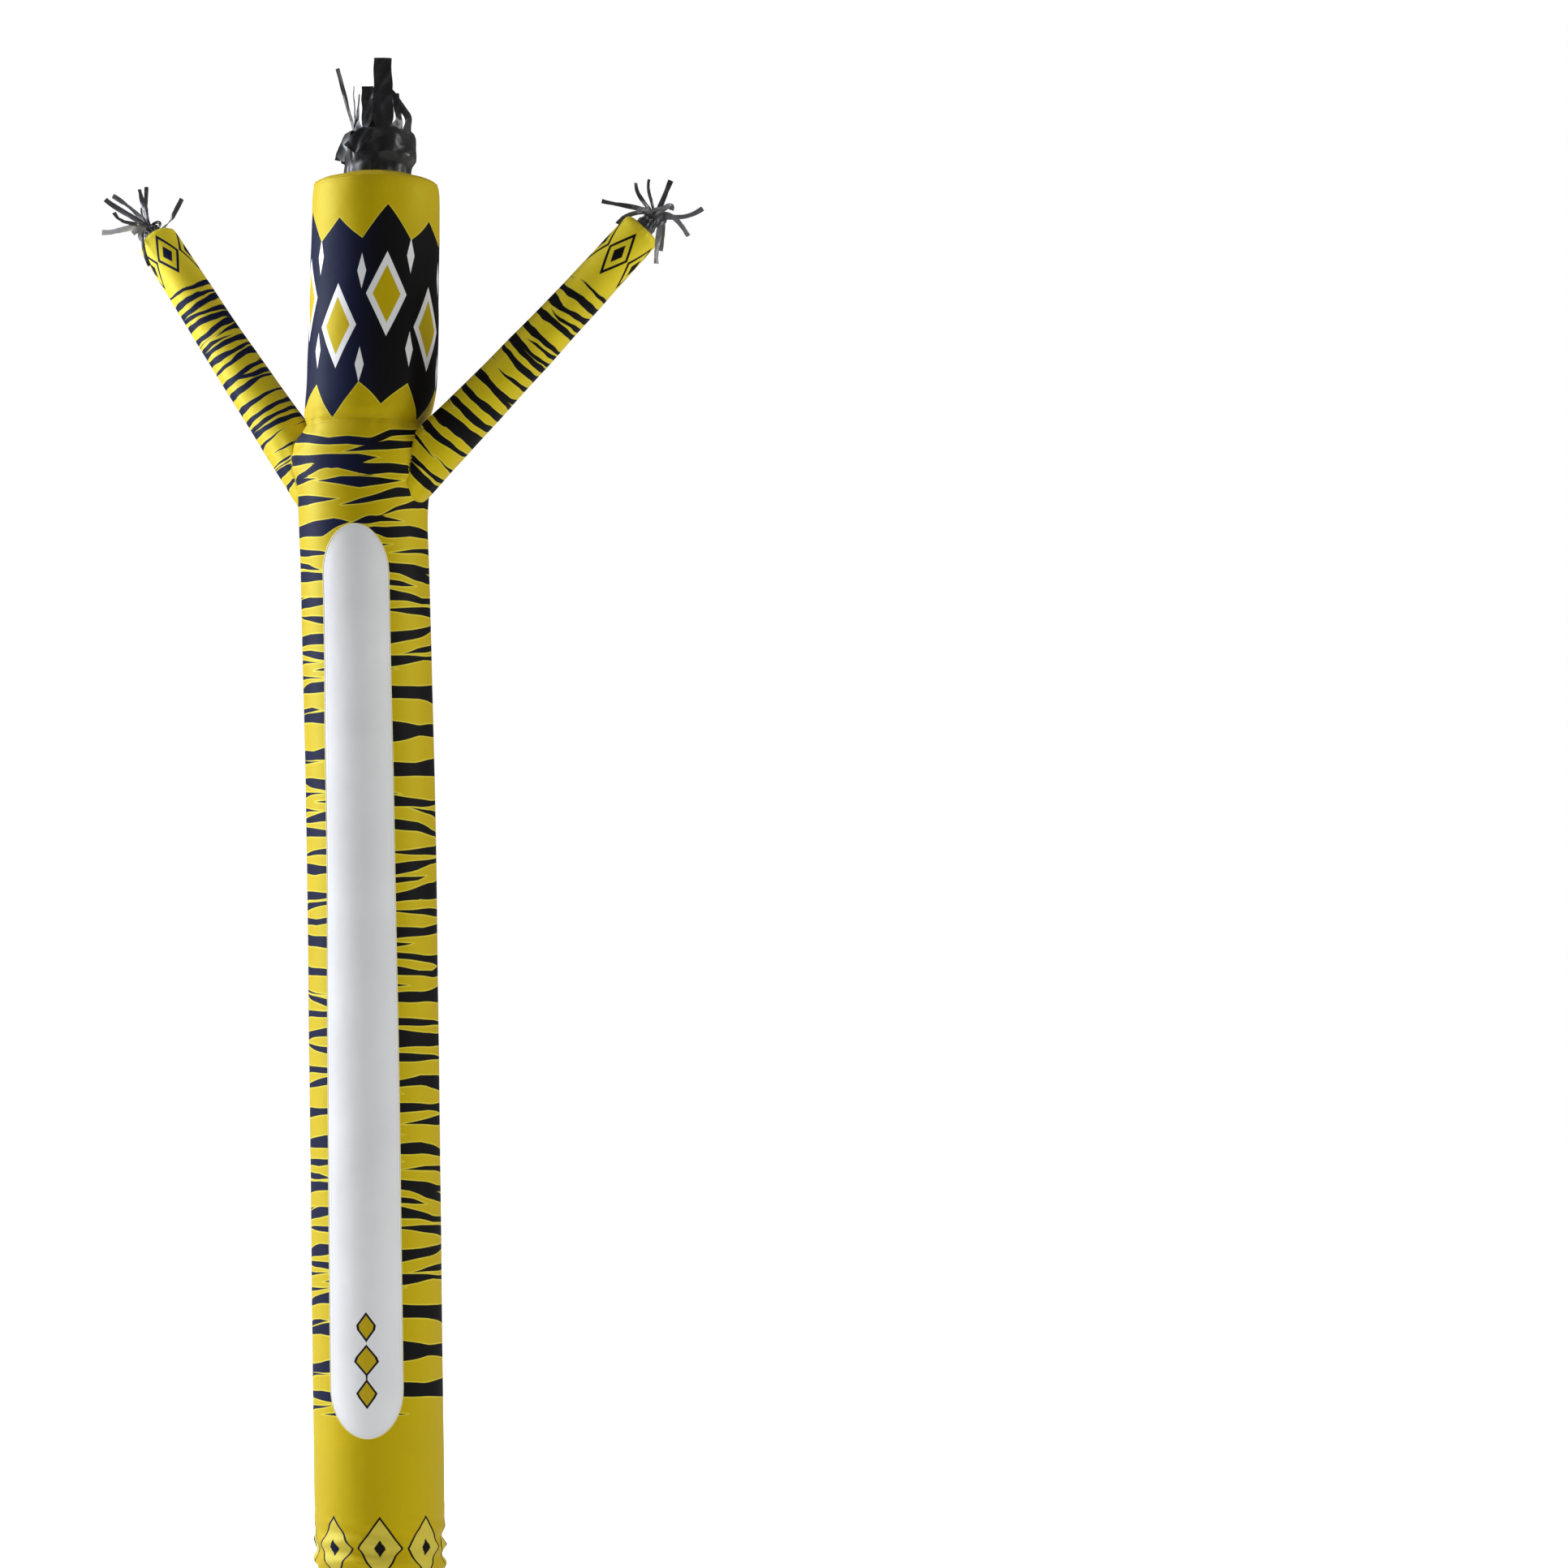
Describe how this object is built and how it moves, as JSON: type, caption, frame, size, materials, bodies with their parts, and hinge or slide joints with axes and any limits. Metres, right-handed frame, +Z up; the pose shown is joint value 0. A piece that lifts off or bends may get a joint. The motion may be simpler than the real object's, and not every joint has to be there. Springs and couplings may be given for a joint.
{
  "type": "inflatable air dancer",
  "caption": "Tall inflated cloth tube figure with a capped head, slit hair, raised sleeve arms and an open hem for a blower.",
  "frame": {"origin": "middle of the footprint on the surface it stands on; the round hem's centre is 31 mm to -X and 131 mm to -Y of it", "axes": "+Z up along the body, the front of the body towards -Y, the viewer's right towards +X"},
  "size_m": [2.1488, 1.1615, 5.4168],
  "materials": {
    "printed_ripstop": "satin",
    "white_ripstop": "satin",
    "black_ripstop": "satin"
  },
  "bodies": {
    "root": {"torso": "printed_ripstop", "head": "printed_ripstop", "head_cap": "printed_ripstop", "arm_left": "printed_ripstop", "arm_right": "printed_ripstop", "belly_panel": "white_ripstop", "hair_tube": "black_ripstop", "hair_streamers": "black_ripstop", "tuft_left": "black_ripstop", "tuft_right": "black_ripstop"}
  },
  "joints": []
}
